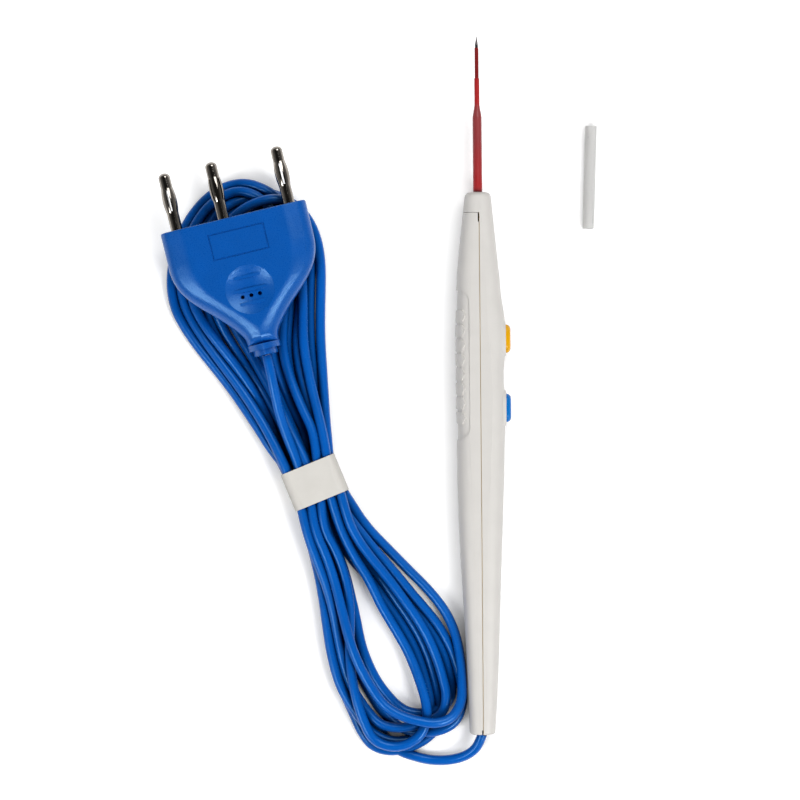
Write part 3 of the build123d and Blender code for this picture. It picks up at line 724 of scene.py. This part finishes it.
def dress():
    """Gives every piece of the frame its finish, and gives back the cord's."""
    jacket = cord_material()
    button = {"rough": (0.18, 0.26), "mottle": 0.003, "spread": 0.03, "specular": 0.25}
    finishes = [
        (handle_material(), ["housing_upper", "housing_lower", "hex_collar"]),
        (plug_material(), ["plug_body"]),
        (moulded("button_yellow", button_yellow, **button), ["cut_button"]),
        (moulded("button_blue", button_blue, **button), ["coag_button"]),
        (moulded("carrier_grey", carrier_grey), ["plug_pin_carrier", "cord_anchor"]),
        (moulded("insulation_red", insulation_red, rough=(0.25, 0.35)), ["needle_insulation"]),
        (moulded("board_green", board_green), ["switch_board"]),
        (moulded("wire_grey", wire_grey), ["wire_active", "wire_cut", "wire_coag"]),
        (metal("pin_nickel", pin_nickel, rough=(0.08, 0.16)), ["pin_active", "pin_cut", "pin_coag"]),
        (metal("needle_steel", needle_steel, rough=(0.2, 0.32)), ["needle_electrode"]),
        (metal("socket_brass", socket_brass), ["electrode_socket"]),
        (metal("dome_steel", dome_steel), ["cut_dome", "coag_dome"]),
        (jacket, ["cord_jacket_inner", "cord_hank", "cord_lead_in", "cord_lead_out"]),
        (sleeve_material(), ["electrode_sleeve"]),
        (guard_material(), ["needle_guard"]),
        (paper_material(), ["cord_tie_band"]),
    ]
    for material, names in finishes:
        for name in names:
            mesh = nodes[name].data
            mesh.materials.clear()
            mesh.materials.append(material)
    return jacket


def springing_dome(node):
    """A copy of a snap dome with a mesh of its own, which takes the original's place on the handle."""
    dome = nodes[node].copy()
    dome.data = nodes[node].data.copy()
    dome.name = node + "_spring"
    del dome["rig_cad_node"]
    bpy.context.scene.collection.objects.link(dome)
    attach(dome, "handle")
    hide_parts(node)
    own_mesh(dome)


# Surroundings: floor, world, lamps as (name, place, size, power) and camera
floor_half = 1.5
floor_white = 0.86
floor_bounce = 0.5
floor_rough = 0.9
floor_specular = 0.1
floor_glow = 0.52
# How far out the painted shadow on the floor's glow reaches
painted_shadow_reach = 0.011
far_floor = (0.2, 0.45)
world_levels = [(0.0, 0.75), (0.12, 0.36), (0.6, 0.18), (0.85, 0.03), (1.0, 0.02)]
lamps = [
    ("key", (0.62, -0.6, 0.9), 0.4, 9.1),
    ("fill", (-0.7, -0.5, 0.85), 0.4, 5.6),
    ("top", (0.3, 0.7, 1.0), 0.6, 6.5),
]
camera_place = (-0.02643, 0.00023, 1.0)
camera_roll = math.radians(-0.5)
camera_lens = 134.53
camera_sensor = 36


def floor_material():
    """Matte white that glows for the camera and in reflections; the glow drops in gaps and close beside
    the object as painted shadow, and is less near the middle than far off.
    """
    material, tree, shader, coordinates = start_material("floor_white")
    shader.inputs["Roughness"].default_value = floor_rough
    shader.inputs["Specular IOR Level"].default_value = floor_specular
    shader.inputs["Emission Color"].default_value = (1, 1, 1, 1)
    rays = tree.nodes.new("ShaderNodeLightPath")
    seen = rays.outputs["Is Camera Ray"]
    for name in ("Is Glossy Ray", "Is Transmission Ray"):
        seen = add_math(tree, "MAXIMUM", seen, rays.outputs[name])
    shades = [(0.0, (floor_bounce,) * 3), (1.0, (floor_white,) * 3)]
    tree.links.new(add_ramp(tree, seen, shades), shader.inputs["Base Color"])
    # Painted shadow: the glow fades where the surroundings close in
    glow_after_painted_shadow = add_math(tree, "MULTIPLY", seen, add_open_air(tree, painted_shadow_reach))
    distance = add_distance(tree, coordinates, (*camera_place[:2], 0))
    level = add_step(tree, distance, *far_floor, start=floor_glow)
    tree.links.new(add_math(tree, "MULTIPLY", glow_after_painted_shadow, level), shader.inputs["Emission Strength"])
    return material


def build_floor():
    """A plain pale floor, which keeps the object's shadow."""
    mesh = bpy.data.meshes.new("floor")
    low, high = -floor_half, floor_half
    mesh.from_pydata([(low, low, 0), (high, low, 0), (high, high, 0), (low, high, 0)], [], [(0, 1, 2, 3)])
    mesh.materials.append(floor_material())
    floor = bpy.data.objects.new("floor", mesh)
    bpy.context.scene.collection.objects.link(floor)


def add_lamp(name, place, size, power):
    """A square soft light that points at the object's middle."""
    data = bpy.data.lights.new(name, "AREA")
    data.energy = power
    data.size = size
    lamp = bpy.data.objects.new(name, data)
    lamp.location = place
    target = np.array(camera_place) * (1, 1, 0)
    away = np.array(place) - target
    turn = math.atan2(away[1], away[0])
    tilt = math.acos(away[2] / np.linalg.norm(away))
    lamp.rotation_euler = (0, tilt, turn)
    bpy.context.scene.collection.objects.link(lamp)


def build_world():
    """A studio with pale walls and a dark ceiling, which the camera itself sees as white."""
    world = bpy.data.worlds.new("studio")
    world.use_nodes = True
    tree = world.node_tree
    _, _, height = add_split(tree, tree.nodes.new("ShaderNodeTexCoord").outputs["Generated"])
    studio = add_ramp(tree, height, [(place, (level,) * 3) for place, level in world_levels])
    seen = tree.nodes.new("ShaderNodeLightPath").outputs["Is Camera Ray"]
    tree.links.new(add_mix(tree, seen, studio, (1, 1, 1)), tree.nodes["Background"].inputs["Color"])
    bpy.context.scene.world = world


def build_camera():
    """A camera above the object that looks straight down."""
    data = bpy.data.cameras.new("camera")
    data.lens = camera_lens
    data.sensor_width = camera_sensor
    camera = bpy.data.objects.new("camera", data)
    camera.location = camera_place
    camera.rotation_euler = (0, 0, camera_roll)
    bpy.context.scene.collection.objects.link(camera)
    bpy.context.scene.camera = camera
    bpy.context.scene.view_settings.view_transform = "Standard"


# Everything in place
build_floor()
build_world()
for lamp in lamps:
    add_lamp(*lamp)
build_camera()
jacket = dress()
springing_dome("cut_dome")
springing_dome("coag_dome")
cord = build_cord()
cord.data.materials.append(jacket)
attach(cord, "handle")
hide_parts("cord_lead_in", "cord_hank", "cord_lead_out")
